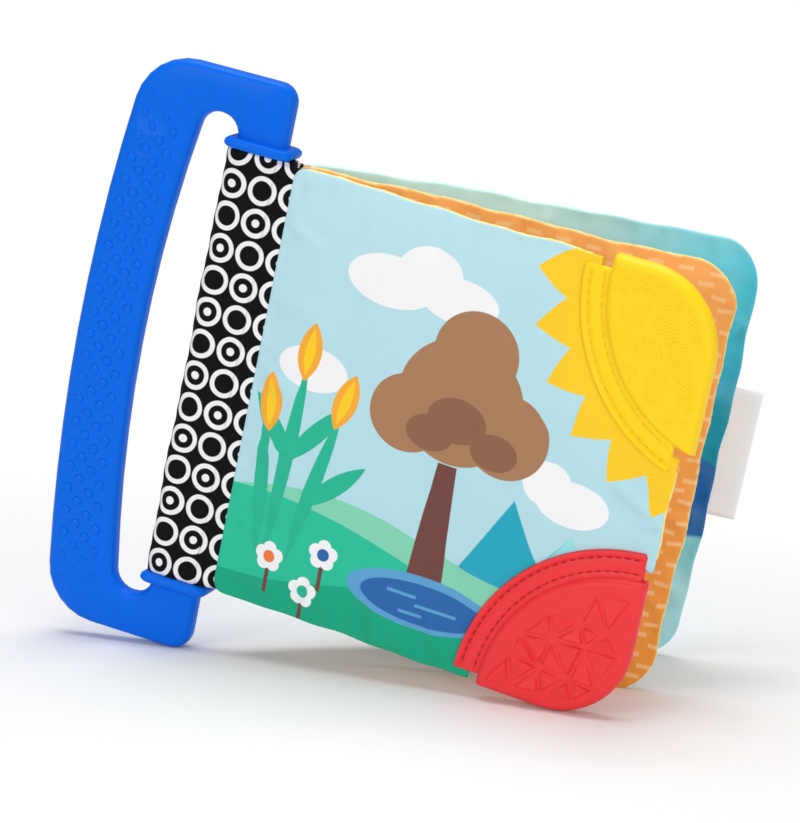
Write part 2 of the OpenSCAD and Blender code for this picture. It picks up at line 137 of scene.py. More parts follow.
def plate_loop(x0, x1, half, r0, r1, inset=0.0, step=1.6):
    """Points round such a plate, drawn in by inset."""
    points = []
    for cx, cz, r, start in ((x1 - r1, r1 - half, r1, -90), (x1 - r1, half - r1, r1, 0),
                             (x0 + r0, half - r0, r0, 90), (x0 + r0, r0 - half, r0, 180)):
        turns = max(4, round(r * math.pi / 2 / step))
        for i in range(turns + 1):
            a = math.radians(start + 90 * i / turns)
            points.append((cx + (r - inset) * math.cos(a), cz + (r - inset) * math.sin(a)))
    filled = []
    for a, b in zip(points, points[1:] + points[:1]):
        pieces = max(1, round(math.dist(a, b) / step))
        filled += [(a[0] + (b[0] - a[0]) * i / pieces, a[1] + (b[1] - a[1]) * i / pieces)
                   for i in range(pieces)]
    return filled


def arc(centre, r, start, end, step=1.4):
    """Points on an arc between two angles in degrees."""
    count = max(3, round(abs(math.radians(end - start)) * r / step))
    angles = np.radians(np.linspace(start, end, count + 1))
    return [(centre[0] + r * math.cos(a), centre[1] + r * math.sin(a)) for a in angles]


def hex_points(x0, x1, z0, z1, step):
    """Points in staggered rows over a rectangle."""
    rows = int((z1 - z0) / (step * 0.866)) + 1
    return [(x0 + step * (i + 0.5 * (j % 2)), z0 + step * 0.866 * j)
            for j in range(rows) for i in range(int((x1 - x0) / step) + 1)]


def triangulate(chains, points, keep):
    """Vertices and triangles of the area that keep() accepts. Chains are (points, closed)."""
    coords, edges = [], []
    for chain, closed in chains:
        first = len(coords)
        coords += chain
        edges += [(first + i, first + i + 1) for i in range(len(chain) - 1)]
        if closed:
            edges.append((first + len(chain) - 1, first))
    coords += points
    verts, _, faces, *_ = delaunay_2d_cdt([Vector(c) for c in coords], edges, [], 0, 1e-5)
    verts = np.array([tuple(v) for v in verts])
    faces = np.array([f for f in faces if len(f) == 3])
    faces = faces[keep(verts[faces].mean(axis=1))]
    used, faces = np.unique(faces, return_inverse=True)
    return verts[used], faces.reshape(-1, 3)


def rim_of(faces):
    """Vertices on the open edge of a sheet of triangles."""
    sides = np.sort(np.concatenate([faces[:, [0, 1]], faces[:, [1, 2]], faces[:, [2, 0]]]), 1)
    found, count = np.unique(sides, axis=0, return_counts=True)
    return np.unique(found[count == 1])


def smooth_step(x):
    x = np.clip(x, 0, 1)
    return x * x * (3 - 2 * x)


def waves(p, seed, length, height, count=7):
    """Soft unevenness made of a few crossing waves."""
    rng = np.random.default_rng(seed)
    total = np.zeros(len(p))
    for _ in range(count):
        a, phase = rng.uniform(0, 2 * math.pi, 2)
        k = 2 * math.pi / (length * rng.uniform(0.65, 1.5))
        total += np.sin(k * (p[:, 0] * math.cos(a) + p[:, 1] * math.sin(a)) + phase)
    return height * total / math.sqrt(count)


def ripple(s, seed, lengths=(5.0, 8.0, 13.0, 21.0)):
    rng = np.random.default_rng(seed)
    return sum(np.sin(2 * math.pi * s / length + rng.uniform(0, 6.28)) for length in lengths) / 2


def waver(p, width, seed, discs=(), height=0.4):
    """The outline of a sewn leaf wanders a little in its own plane."""
    free = smooth_step((p[:, 0] - 4.0) / 20) * smooth_step((clear_of(p, discs) - 0.5) / 7)
    near_end = smooth_step(1 - (HALF_H - np.abs(p[:, 1])) / 16) * np.sign(p[:, 1])
    near_side = smooth_step(1 - (width - p[:, 0]) / 16)
    lengths = (19.0, 41.0, 67.0, 120.0)
    along = ripple(p[:, 0] + 50 * np.sign(p[:, 1]), seed, lengths)
    up = ripple(p[:, 1], seed + 1, lengths)
    return p + height * np.column_stack([up * near_side * free, along * near_end * free])


def creases(p, lines):
    """Soft folds, each from one point to another, so wide and so deep."""
    total = np.zeros(len(p))
    for start, end, width, depth in lines:
        size = math.dist(start, end)
        ux, uz = (end[0] - start[0]) / size, (end[1] - start[1]) / size
        along = (p[:, 0] - start[0]) * ux + (p[:, 1] - start[1]) * uz
        across = (p[:, 1] - start[1]) * ux - (p[:, 0] - start[0]) * uz
        window = smooth_step(along / (0.3 * size) + 0.5)
        window = window * smooth_step((size - along) / (0.6 * size))
        ridge = np.exp(-(across / width) ** 2)
        valley = np.exp(-((across - 1.7 * width) / width) ** 2)
        total += depth * window * (ridge - 0.7 * valley)
    return total


def puckers(p, width, seed, height=0.42, reach=7.0):
    """Gathers that run in from the sewn edges and die away."""
    to_end = np.maximum(HALF_H - np.abs(p[:, 1]), 0)
    to_side = np.maximum(np.minimum(p[:, 0], width - p[:, 0]), 0)
    ends = ripple(p[:, 0] + 37 * np.sign(p[:, 1]), seed) * np.exp(-to_end / reach)
    sides = ripple(p[:, 1], seed + 1) * np.exp(-to_side / reach)
    return height * (ends + sides) * smooth_step(np.minimum(to_end, to_side) / 2.5)


def fullness(d, reach=CROWN_W):
    """A rise from 0 at the seam to 1, level where it ends."""
    return 1 - (1 - np.clip(d, 0, reach) / reach) ** 2


def leaf_half_t(p, width, discs=()):
    """Half the thickness of a padded leaf."""
    edge = EDGE_T / 2
    depth = plate_depth(p, *leaf_outline(width))
    full = fullness(np.minimum(p[:, 0], width - p[:, 0]) - SEAM_W)
    full = full * fullness(HALF_H - np.abs(p[:, 1]) - SEAM_W)
    full = full * fullness(clear_of(p, discs) + 1.0, 9.0)
    t = edge + (LEAF_T - EDGE_T) / 2 * full
    rounding = np.sqrt(np.clip(edge ** 2 - (edge - np.minimum(depth, edge)) ** 2, 0, None))
    return np.where(depth < edge, rounding, t), depth


# Meshes

def in_scene(name, data):
    made = bpy.data.objects.new(name, data)
    bpy.context.scene.collection.objects.link(made)
    return made


def make_object(name, verts, faces, material, uv=None):
    mesh = bpy.data.meshes.new(name)
    faces = faces.tolist() if isinstance(faces, np.ndarray) else faces
    mesh.from_pydata(np.asarray(verts, float).tolist(), [], faces)
    mesh.update()
    if uv is not None:
        layer = mesh.uv_layers.new(name="print")
        corners = np.zeros(len(mesh.loops), np.int32)
        mesh.loops.foreach_get("vertex_index", corners)
        layer.data.foreach_set("uv", (np.asarray(uv) / 100)[corners].astype(np.float32).ravel())
    mesh.polygons.foreach_set("use_smooth", np.ones(len(mesh.polygons), bool))
    mesh.materials.append(material)
    return in_scene(name, mesh)


def raised(p, n):
    """Points (u, z) lifted to (u, n, z)."""
    return np.column_stack([p[:, 0], np.broadcast_to(n, len(p)), p[:, 1]])


def run_along(path):
    """How far along a path each of its points lies."""
    return np.concatenate([[0], np.cumsum(np.linalg.norm(np.diff(path, axis=0), axis=1))])


def closed_sheet(p, faces, upper, lower):
    """A solid between two heights over one sheet of triangles, closed along the rim."""
    rim = rim_of(faces)
    # A triangle with all its corners on the rim would come out twice, so it goes
    while (ears := np.isin(faces, rim).all(1)).any():
        faces = faces[~ears]
        rim = rim_of(faces)
    count = len(p)
    below = np.arange(count) + count
    below[rim] = rim
    upper = upper.copy()
    upper[rim] = (upper[rim] + lower[rim]) / 2
    points = np.concatenate([raised(p, upper), raised(p, lower)])
    # The sheet's own triangles face -n, so the upper side is turned over
    both = np.concatenate([faces[:, ::-1], below[faces]])
    used, both = np.unique(both, return_inverse=True)
    return points[used], both.reshape(-1, 3)


def joined(parts):
    """Several (points, faces) as one."""
    points, faces, start = [], [], 0
    for p, f in parts:
        points.append(np.asarray(p, float))
        faces += [tuple(int(i) + start for i in face) for face in f]
        start += len(p)
    return np.concatenate(points), faces


def grid_quads(rows, across, start=0, flip=False):
    """The quads between rows of points, each row as long as across."""
    quads = []
    for i in range(rows - 1):
        for j in range(across - 1):
            a = start + i * across + j
            quad = (a, a + 1, a + across + 1, a + across)
            quads.append(quad[::-1] if flip else quad)
    return quads


def tube(path, radius, sides=8):
    """A round cord along a path of points, with closed ends."""
    path = np.asarray(path, float)
    count = len(path)
    ahead = np.gradient(path, axis=0)
    ahead /= np.linalg.norm(ahead, axis=1)[:, None]
    side = np.cross(ahead, (0.0, 1.0, 0.0))
    side /= np.linalg.norm(side, axis=1)[:, None]
    top = np.cross(side, ahead)
    radius = np.broadcast_to(radius, count)
    a = np.linspace(0, 2 * math.pi, sides, endpoint=False)
    rings = path[:, None] + radius[:, None, None] * (
        side[:, None] * np.cos(a)[None, :, None] + top[:, None] * np.sin(a)[None, :, None])
    faces = []
    for i in range(0, (count - 1) * sides, sides):
        for k in range(sides):
            m = (k + 1) % sides
            faces.append((i + k, i + sides + k, i + sides + m, i + m))
    faces.append(tuple(range(sides)))
    faces.append(tuple(range(count * sides - 1, (count - 1) * sides - 1, -1)))
    return rings.reshape(-1, 3), faces


def stitches(path):
    """Short threads along a path, each a spindle that dips in at both ends."""
    run = run_along(path)
    parts, start = [], STITCH_GAP / 2
    while start + STITCH_LEN < run[-1]:
        s = np.linspace(start, start + STITCH_LEN, 5)
        line = np.stack([np.interp(s, run, path[:, k]) for k in range(3)], -1)
        line[:, 1] -= np.sign(line[:, 1]) * np.array([1.0, 0.2, 0.0, 0.2, 1.0]) * STITCH_SINK
        parts.append(tube(line, STITCH_R * np.array([0.45, 0.9, 1.0, 0.9, 0.45]), 6))
        start += STITCH_LEN + STITCH_GAP
    return joined(parts)


# Materials: a small language of fields that vary over a piece

def linear(rgb):
    """A colour given as 0 to 255 sRGB, as Blender's linear RGBA."""
    def one(c):
        c /= 255
        return c / 12.92 if c <= 0.04045 else ((c + 0.055) / 1.055) ** 2.4
    return (*[one(c) for c in rgb], 1.0)


class Field:
    """A number that varies over a material; arithmetic on it adds Math nodes."""

    def __init__(self, tree, socket):
        self.tree, self.socket = tree, socket

    def op(self, name, *others, clamp=False):
        node = self.tree.nodes.new("ShaderNodeMath")
        node.operation, node.use_clamp = name, clamp
        for i, value in enumerate((self, *others)):
            if isinstance(value, Field):
                self.tree.links.new(value.socket, node.inputs[i])
            else:
                node.inputs[i].default_value = value
        return Field(self.tree, node.outputs[0])

    def __add__(self, other):
        return self.op("ADD", other)

    def __sub__(self, other):
        return self.op("SUBTRACT", other)

    def __rsub__(self, other):
        return (self * -1.0) + other

    def __mul__(self, other):
        return self.op("MULTIPLY", other)

    def clamped(self):
        return self.op("MULTIPLY", 1.0, clamp=True)

    def sharp(self, width=0.2):
        """1 where the field is above 0, with an edge as soft as width."""
        return self.op("MULTIPLY_ADD", 1 / width, 0.5, clamp=True)


def length_of(a, b):
    return (a * a + b * b).op("SQRT")


def ellipse(u, z, centre, rx, rz):
    a, b = (u - centre[0]) * (1 / rx), (z - centre[1]) * (1 / rz)
    return ((1.0 - length_of(a, b)) * min(rx, rz)).sharp()


def bar(u, z, centre, half_u, half_z):
    a, b = (u - centre[0]).op("ABSOLUTE"), (z - centre[1]).op("ABSOLUTE")
    return (half_u - a).op("MINIMUM", half_z - b).sharp()


def petal(u, z, centre, length, width, angle):
    """A pointed leaf: two arcs that meet at both ends, as long and wide as given."""
    c, s = math.cos(math.radians(angle)), math.sin(math.radians(angle))
    a, b = u - centre[0], z - centre[1]
    along, across = a * c + b * s, b * c - a * s
    r = (length ** 2 / width + width) / 4
    off = r - width / 2
    far = length_of(along, across - off).op("MAXIMUM", length_of(along, across + off))
    return (r - far).sharp()


def polygon(u, z, points, edge=0.2):
    """A convex shape; its corners go round anticlockwise."""
    inside = None
    for (x0, z0), (x1, z1) in zip(points, points[1:] + points[:1]):
        size = math.dist((x0, z0), (x1, z1))
        a, b = -(z1 - z0) / size, (x1 - x0) / size
        d = u * a + z * b - (a * x0 + b * z0)
        inside = d if inside is None else inside.op("MINIMUM", d)
    return inside.sharp(edge)


def set_inputs(node, **values):
    """Gives a node's own sockets their values; an underline in a name is a space."""
    for name, value in values.items():
        node.inputs[name.replace("_", " ")].default_value = value


class Finish:
    """A material being built: its print coordinates in millimetres, and its shader."""

    def __init__(self, name, rgb, roughness, specular):
        self.material = bpy.data.materials.new(name)
        self.material.use_nodes = True
        self.tree = self.material.node_tree
        self.shader = self.tree.nodes["Principled BSDF"]
        self.colour, self.base = None, linear(rgb)
        set_inputs(self.shader, Base_Color=self.base, Roughness=roughness,
                   Specular_IOR_Level=specular)

    def link(self, source, target):
        self.tree.links.new(source, target)

    def node(self, kind, **values):
        made = self.tree.nodes.new(kind)
        for key, value in values.items():
            setattr(made, key, value)
        return made

    def first_two(self, place):
        """The first two coordinates of a place, as fields."""
        split = self.node("ShaderNodeSeparateXYZ")
        self.link(place, split.inputs[0])
        return Field(self.tree, split.outputs[0]), Field(self.tree, split.outputs[1])

    def print_place(self):
        """The print's own coordinates: u across and z up, in millimetres."""
        self.uv = self.node("ShaderNodeUVMap", uv_map="print").outputs[0]
        u, z = self.first_two(self.uv)
        return u * 100.0, z * 100.0

    def paint(self, mask, rgb):
        """Lays a colour over what is there, where the mask is 1."""
        mix = self.node("ShaderNodeMix", data_type="RGBA")
        self.link(mask.socket, mix.inputs[0])
        if self.colour is None:
            mix.inputs[6].default_value = self.base
        else:
            self.link(self.colour, mix.inputs[6])
        mix.inputs[7].default_value = linear(rgb)
        self.colour = mix.outputs[2]

    def noise(self, scale, detail, coordinates=None):
        made = self.node("ShaderNodeTexNoise")
        set_inputs(made, Scale=scale, Detail=detail)
        if coordinates is None:
            coordinates = self.node("ShaderNodeTexCoord").outputs["Object"]
        self.link(coordinates, made.inputs["Vector"])
        return Field(self.tree, made.outputs[0])

    def bump(self, height, strength, distance):
        made = self.node("ShaderNodeBump")
        set_inputs(made, Strength=strength, Distance=distance)
        self.link(height.socket, made.inputs["Height"])
        self.link(made.outputs[0], self.shader.inputs["Normal"])

    def done(self):
        if self.colour is not None:
            self.link(self.colour, self.shader.inputs["Base Color"])
        return self.material


WEAVE_PITCH = 0.42


def cloth(name, rgb, roughness=0.62, sheen=0.1, specular=0.25):
    """A woven cloth, with the coordinates to print it by."""
    made = Finish(name, rgb, roughness, specular)
    set_inputs(made.shader, Sheen_Weight=sheen)
    u, z = made.print_place()
    thread = 2 * math.pi / WEAVE_PITCH
    made.bump((u * thread).op("SINE") * (z * thread).op("SINE"), 0.25, 0.00004)
    return made, u, z


# The front cover's print: a plain meadow in the photograph's colours
SKY, CLOUD = (179, 220, 230), (243, 243, 244)
PALE_HILL, HILL, DEEP_HILL = (130, 210, 178), (33, 190, 152), (0, 165, 127)
PLANT = (31, 180, 145)
BARK, CROWN_BROWN, CROWN_LIGHT = (112, 65, 58), (140, 96, 70), (168, 123, 87)
POND, POND_LIGHT = (35, 100, 170), (90, 160, 208)
TEAL, TEAL_DARK, TEAL_LIGHT = (89, 205, 211), (28, 165, 190), (150, 225, 228)
SUN = (250, 203, 30)
CORAL, AMBER = (238, 120, 60), (246, 170, 48)


def cover_print():
    made, u, z = cloth("cover_print", SKY)
    fade = (z * (1 / 90) + 0.1).clamped()
    made.paint(fade * 0.35, (196, 230, 236))
    for centre, rx, rz in (((40, 44), 15, 8), ((52, 49), 11, 9), ((63, 44), 13, 7),
                           ((112, -6), 12, 7), ((103, -2), 8, 7), ((20, 10), 12, 7)):
        made.paint(ellipse(u, z, centre, rx, rz), CLOUD)
    return made, u, z


def front_cover_material():
    made, u, z = cover_print()
    # Teal hills far off
    for points, rgb in (([(78, -40), (112, -40), (94, -10)], TEAL_DARK),
                        ([(92, -44), (134, -44), (114, -16)], TEAL),
                        ([(107, -26), (121, -26), (114, -16)], TEAL_LIGHT)):
        made.paint(polygon(u, z, points, 0.3), rgb)
    # Rolling ground: how fast and how high it rolls, and its level
    for rate, phase, height, level, rgb in ((0.045, 0.0, 6.0, -33.0, PALE_HILL),
                                            (0.031, 1.1, 9.0, -41.0, HILL),
                                            (0.04, -1.6, 6.0, -55.0, DEEP_HILL)):
        rise = (u * rate + phase).op("SINE") * height
        made.paint((rise - z + level).sharp(0.3), rgb)
    # A round tree
    made.paint(polygon(u, z, [(64, -44), (76, -44), (73.5, -6), (67, -6)]), BARK)
    for centre, r in (((70, 14), 21), ((54, 6), 13), ((87, 8), 14), ((72, 30), 14)):
        made.paint(ellipse(u, z, centre, r, r * 0.94), CROWN_LIGHT)
    for centre, r in (((62, 2), 8), ((84, 2), 8), ((70, 8), 10)):
        made.paint(ellipse(u, z, centre, r, r * 0.7), CROWN_BROWN)
    # A pond
    made.paint(ellipse(u, z, (70, -51), 25, 8.5), POND_LIGHT)
    made.paint(ellipse(u, z, (71, -51.5), 21, 6.4), POND)
    for centre, half in (((64, -49.5), 5), ((76, -52), 7), ((68, -55), 4)):
        made.paint(bar(u, z, centre, half, 0.5), POND_LIGHT)
    # Reeds beside the spine
    for centre, size, width, angle in (
            ((17, -20), 66, 5, 88), ((28, -26), 54, 5, 80), ((10, -30), 48, 5, 97),
            ((25, -10), 30, 6, 52), ((11, -12), 26, 6, 132), ((35, -24), 26, 6, 44)):
        made.paint(petal(u, z, centre, size, width, angle), PLANT)
    for centre, angle in (((18, 15), 88), ((33, 3), 78), ((8, -4), 98)):
        made.paint(petal(u, z, centre, 19, 8, angle), AMBER)
        made.paint(petal(u, z, centre, 15, 3.4, angle), SUN)
    # Flowers in the grass
    for x, y, rgb in ((18, -52, CORAL), (36, -46, POND), (98, -50, CORAL), (31, -60, PLANT)):
        made.paint(bar(u, z, (x, y - 6), 0.7, 6), BARK)
        for k in range(5):
            a = math.radians(90 + 72 * k)
            made.paint(ellipse(u, z, (x + 2.7 * math.cos(a), y + 2.7 * math.sin(a)), 2.3, 2.3),
                       CLOUD)
        made.paint(ellipse(u, z, (x, y), 2.0, 2.0), rgb)
    # The sunburst round the upper teether
    dx, dz = u - UPPER_CENTRE[0], z - UPPER_CENTRE[1]
    turn = dz.op("ARCTAN2", dx) * (180 / math.pi / 7.2) + 176.7 / 7.2
    ray = turn.op("PINGPONG", 1.0)
    made.paint(((1.0 - ray) * 10.0 + 60.0 - length_of(dx, dz)).sharp(0.3), SUN)
    return made.done()


def page_material():
    made, u, z = cloth("page_cloth", (244, 160, 58))
    shade = (z * (1 / 139) + 0.5).clamped()
    made.paint(shade * 0.7, (255, 184, 110))
    row = (z * (1 / 3.4)).op("FLOOR")
    offset = row.op("MULTIPLY", 0.5).op("FRACT") * 9.6 + (row * 1.7).op("SINE") * 1.3
    a = ((u + offset) * (1 / 9.6)).op("FRACT") * 9.6 - 4.8
    b = (z * (1 / 3.4)).op("FRACT") * 3.4 - 1.7 + a * ((row * 2.3).op("SINE") * 0.12)
    dash = (2.3 - a.op("ABSOLUTE")).op("MINIMUM", 0.68 - b.op("ABSOLUTE")).sharp(0.4)
    made.paint(dash * 0.85, (255, 206, 146))
    return made.done()


def teal_material(name):
    """Washes of teal, from mint at the top through turquoise and blue to pale teal."""
    made, u, z = cloth(name, (74, 202, 224))
    wash = (made.noise(3.5, 3.0, made.uv) - 0.5) * 30.0
    made.paint((u * -0.8 + z * 0.5 + wash + 58.0).sharp(60.0), (205, 246, 240))
    made.paint(((z * -1.0 + 34.0) + wash * 0.5).sharp(24.0), (38, 172, 203))
    made.paint((18.0 - z + wash * 0.6).sharp(5.0), (14, 151, 175))
    wave = (u * 0.05 + 2.2).op("SINE") * 8.0
    made.paint((wave - 2.0 - z).sharp(1.5), (12, 98, 174))
    wave = (u * 0.07 + 1.0).op("SINE") * 5.0
    made.paint((wave - 22.0 - z).sharp(1.5), (140, 216, 226))
    made.paint((wash - 40.0 - z).sharp(9.0), (172, 230, 237))
    facet = (made.noise(7.0, 1.0, made.uv) - 0.5) * 0.5
    made.paint(facet.clamped(), (190, 236, 240))
    return made.done()


def ring_material():
    """Black cloth with off-white rings, every other one with a dot."""
    made, u, z = cloth("ring_cloth", (10, 10, 12), 0.8, 0.03, specular=0.12)
    pitch_u, pitch_z = 10.0, 10.4
    cell_u = (u + 18.8) * (1 / pitch_u)
    cell_z = (z - 59.1 + 5.2 + 10 * pitch_z) * (1 / pitch_z)
    a = (cell_u.op("FRACT") - 0.5) * pitch_u
    b = (cell_z.op("FRACT") - 0.5) * pitch_z
    r = length_of(a, b)
    ring = (0.75 - (r - 3.9).op("ABSOLUTE")).sharp(0.2)
    odd = ((cell_u.op("FLOOR") + cell_z.op("FLOOR")) * 0.5).op("FRACT")
    dot = (1.3 - r).sharp(0.2) * (0.25 - odd).sharp(0.1)
    made.paint(ring.op("MAXIMUM", dot), (240, 237, 238))
    return made.done()


def moulded(name, rgb, roughness, specular, soft=0.06):
    """A satin moulded rubber or plastic."""
    made = Finish(name, rgb, roughness, specular)
    set_inputs(made.shader, Subsurface_Weight=soft, Subsurface_Scale=0.6,
               Subsurface_Radius=(0.002, 0.001, 0.0006))
    made.bump(made.noise(900.0, 3.0), 0.12, 0.00012)
    return made.done()


def plain_cloth(name, rgb):
    made, _, _ = cloth(name, rgb)
    return made.done()


# Leaves

def leaf_sheet(width, discs=(), step=1.7):
    """The area of a leaf in (u, z), without the corners that the flanges cover."""
    cut_in = 5.5
    outline = leaf_outline(width)
    chains = [(plate_loop(*outline, inset), True) for inset in (0.0, 0.12, 0.35, 0.7, 1.6)]
    for centre in discs:
        span = (70, 200) if centre[1] < 0 else (160, 290)
        for r in (FLANGE_R - cut_in, FLANGE_R - 1, FLANGE_R + 0.6):
            chains.append((clean(arc(centre, r, *span), outline), False))
    points = hex_points(0, width, -HALF_H, HALF_H, step)
    depth = plate_depth(np.array(points), *outline)
    points = [q for q, d in zip(points, depth) if d > 2.4]

    def keep(c):
        return (plate_depth(c, *outline) > 0) & (clear_of(c, discs) > -cut_in)
    return triangulate(chains, points, keep)


def clean(chain, outline):
    """The part of an open chain that lies inside the outline."""
    depth = plate_depth(np.array(chain), *outline)
    return [q for q, d in zip(chain, depth) if d > 0.3]


def middle_drift(p, seed, width, height=0.45):
    """How far the whole leaf wanders off its plane."""
    return waves(p, seed, 55.0, height) * smooth_step(p[:, 0] / 30)


def make_leaf(name, sheet, upper, lower, place, material, width, seed, discs=()):
    """A closed leaf between two heights, its outline wandering a little."""
    points, faces = closed_sheet(*sheet, upper, lower)
    prints = points[:, [0, 2]].copy()
    points[:, [0, 2]] = waver(prints, width, seed, discs)
    return make_object(name, place(points), faces, material, prints)


def make_half_leaf(name, width, side, place, material, seed, discs=(), folds=()):
    """The cloth on one side of a cover, from its face to the middle of the padding."""
    p, faces = leaf_sheet(width, discs)
    t, depth = leaf_half_t(p, width, discs)
    free = smooth_step(depth / 3) * smooth_step(clear_of(p, discs) / 8)
    t = t + free * (waves(p, seed + 5 + side, 15.0, 0.14) + puckers(p, width, seed + side)
                    + creases(p, folds))
    drift = middle_drift(p, seed, width) * free
    face, middle = drift + side * t, drift + side * 0.03 * free
    upper, lower = (face, middle) if side > 0 else (middle, face)
    return make_leaf(name, (p, faces), upper, lower, place, material, width, seed, discs)


# Folds of the cloth: from, to, width and depth
FRONT_FOLDS = (
    ((140, -3), (116, 7), 2.2, 1.20), ((140, -9), (121, -8), 1.9, 0.80),
    ((139, 7), (122, 14), 2.0, 0.80), ((104, 24), (92, 12), 2.4, 0.72),
    ((97, 62), (84, 50), 2.2, 0.64), ((60, 68), (55, 50), 2.4, 0.64),
    ((28, 68), (30, 54), 2.0, 0.56), ((5, 50), (22, 46), 2.0, 0.80),
    ((5, 27), (24, 30), 1.9, 0.72), ((5, 3), (21, -2), 2.1, 0.80),
    ((5, -20), (25, -16), 2.0, 0.72), ((5, -44), (24, -49), 2.2, 0.80),
    ((31, -68), (37, -54), 2.2, 0.80), ((58, -68), (55, -55), 2.4, 0.80),
    ((80, -67), (72, -50), 2.0, 0.64), ((86, -38), (76, -28), 2.2, 0.56))
PAGE_FOLDS = (
    ((140, -40), (128, -34), 1.8, 0.80), ((140, -12), (126, -8), 1.8, 0.80),
    ((139, 16), (127, 12), 1.7, 0.64), ((130, 66), (122, 52), 1.8, 0.72),
    ((104, 68), (99, 56), 1.8, 0.64), ((70, 69), (68, 56), 1.8, 0.64))
BACK_FOLDS = (
    ((146, 46), (132, 38), 2.2, 0.88), ((138, 62), (126, 46), 2.0, 0.80),
    ((112, 68), (106, 54), 2.2, 0.80), ((80, 68), (76, 54), 2.2, 0.64),
    ((146, -26), (134, -30), 2.0, 0.80), ((146, -48), (132, -42), 2.2, 0.96),
    ((138, -62), (128, -50), 2.0, 0.80))
PAGE_SEED = 31


def make_page(material, seed=PAGE_SEED):
    """The orange page in one piece, padded on both sides of its middle."""
    p, faces = leaf_sheet(LEAF_W)
    t, depth = leaf_half_t(p, LEAF_W)
    free = smooth_step(depth / 3)
    drift = middle_drift(p, seed, LEAF_W, 0.35) * free
    soft = waves(p, seed + 1, 14.0, 0.12) + puckers(p, LEAF_W, seed) + creases(p, PAGE_FOLDS)
    upper = drift + t + (waves(p, seed + 2, 14.0, 0.12) + puckers(p, LEAF_W, seed + 3)) * free
    lower = drift - t - soft * free
    return make_leaf("page_leaf", (p, faces), upper, lower, on_page, material, LEAF_W, seed)


def make_edging(name, width, place, material, radius, seed, discs, leaf_seed):
    """The rolled edge of the lining that shows along the top and the side of a leaf."""
    loop = np.array(plate_loop(*leaf_outline(width), 0.2, 1.2))
    shown = (loop[:, 0] > 3.0) & (loop[:, 1] > -HALF_H + 4.0)
    loop = waver(loop, width, leaf_seed, discs)
    shown &= clear_of(loop, discs) > -2
    start = int(np.argmax(~shown))
    loop, shown = np.roll(loop, -start, 0), np.roll(shown, -start)
    parts = []
    for run in np.split(loop, np.flatnonzero(np.diff(shown)) + 1)[1::2]:
        if len(run) > 3:
            s = np.arange(len(run)) * 1.2
            swell = radius * (1 + 0.22 * ripple(s, seed, (3.1, 4.7, 7.9)))
            off = 0.15 + 0.14 * ripple(s, seed + 1, (6.0, 11.0, 23.0))
            parts.append(tube(raised(run, off), swell))
    points, faces = joined(parts)
    return make_object(name, place(points), faces, material, points[:, [0, 2]])


# Teethers

RELIEF_PITCH, RELIEF_GAP, RELIEF_ROWS, RELIEF_RIM = 10.4, 1.2, 7, 1.5
RELIEF_SHIFT = (-3.2, 3.6)


def pad_room(p, centre, outline):
    """How far inside a pad's edge and its shoulder each point lies."""
    return np.minimum(plate_depth(p, *outline), PAD_R - reach_of(p, centre))


def relief_facets(centre, outline, bevel=0.5):
    """Packed triangles for the red pad on a wandering grid: outer loop, inner loop, heights."""
    def point(i, j):
        turn = math.radians(i * 679 + j * 1261)
        return np.array([
            centre[0] + RELIEF_SHIFT[0] + RELIEF_PITCH * (math.sin(turn) / 6 - i - (j % 2) / 2),
            centre[1] + RELIEF_SHIFT[1] + RELIEF_PITCH * (math.cos(turn) / 6 + j * 0.866)])

    found = []
    for i in range(-1, RELIEF_ROWS):
        for j in range(-1, RELIEF_ROWS):
            a, b, d, e = point(i, j), point(i + 1, j), point(i, j + 1), point(i + 1, j + 1)
            pair = ((a, b, d), (b, e, d)) if j % 2 == 0 else ((a, b, e), (a, e, d))
            for k, corners in enumerate(pair):
                outer = inset_triangle(corners, RELIEF_GAP / 2)
                inner = inset_triangle(corners, RELIEF_GAP / 2 + bevel)
                if outer is None or inner is None:
                    continue
                if pad_room(outer, centre, outline).min() > RELIEF_RIM:
                    heights = np.roll((0.0, 0.95, 0.95), i + 2 * j + k)
                    found.append((outer, inner, heights))
    return found


def inset_triangle(corners, d):
    """A triangle drawn in by d on every side, or None if too little is left."""
    a, b, c = corners = np.array(corners)
    sides = np.array([np.linalg.norm(b - c), np.linalg.norm(c - a), np.linalg.norm(a - b)])
    area = abs((b[0] - a[0]) * (c[1] - a[1]) - (b[1] - a[1]) * (c[0] - a[0])) / 2
    r = 2 * area / sides.sum()
    if d > r * 0.72:
        return None
    centre = (corners * sides[:, None]).sum(0) / sides.sum()
    return centre + (corners - centre) * (r - d) / r


def pad_height(p, centre, outline):
    """Half the thickness of a chewing pad: a round rim, and a shoulder to the flange."""
    rim, half = 3.0, PAD_T / 2
    depth = plate_depth(p, *outline)
    reach = PAD_R - reach_of(p, centre)
    outer = np.sqrt(fullness(depth, rim)) * half
    inner = 1.5 + (half - 1.5) * np.sin(np.clip(reach / 2.2, 0, 1) * math.pi / 2)
    return np.minimum(outer, inner)


def flange_height(p, centre):
    """Half the thickness of a flange: a proud lip, and a band between two stitch grooves."""
    r = reach_of(p, centre)
    depth = np.minimum(FLANGE_R - r, plate_depth(p, *FLANGE_OUTLINE))
    rim = np.sqrt(fullness(depth, 0.9))
    lip = 1.55 + 0.5 * smooth_step((r - 53.6) / 0.9)
    for groove, _ in FLANGE_GROOVES:
        lip = lip - 0.35 * np.exp(-((r - groove) / 0.45) ** 2)
    return rim * lip


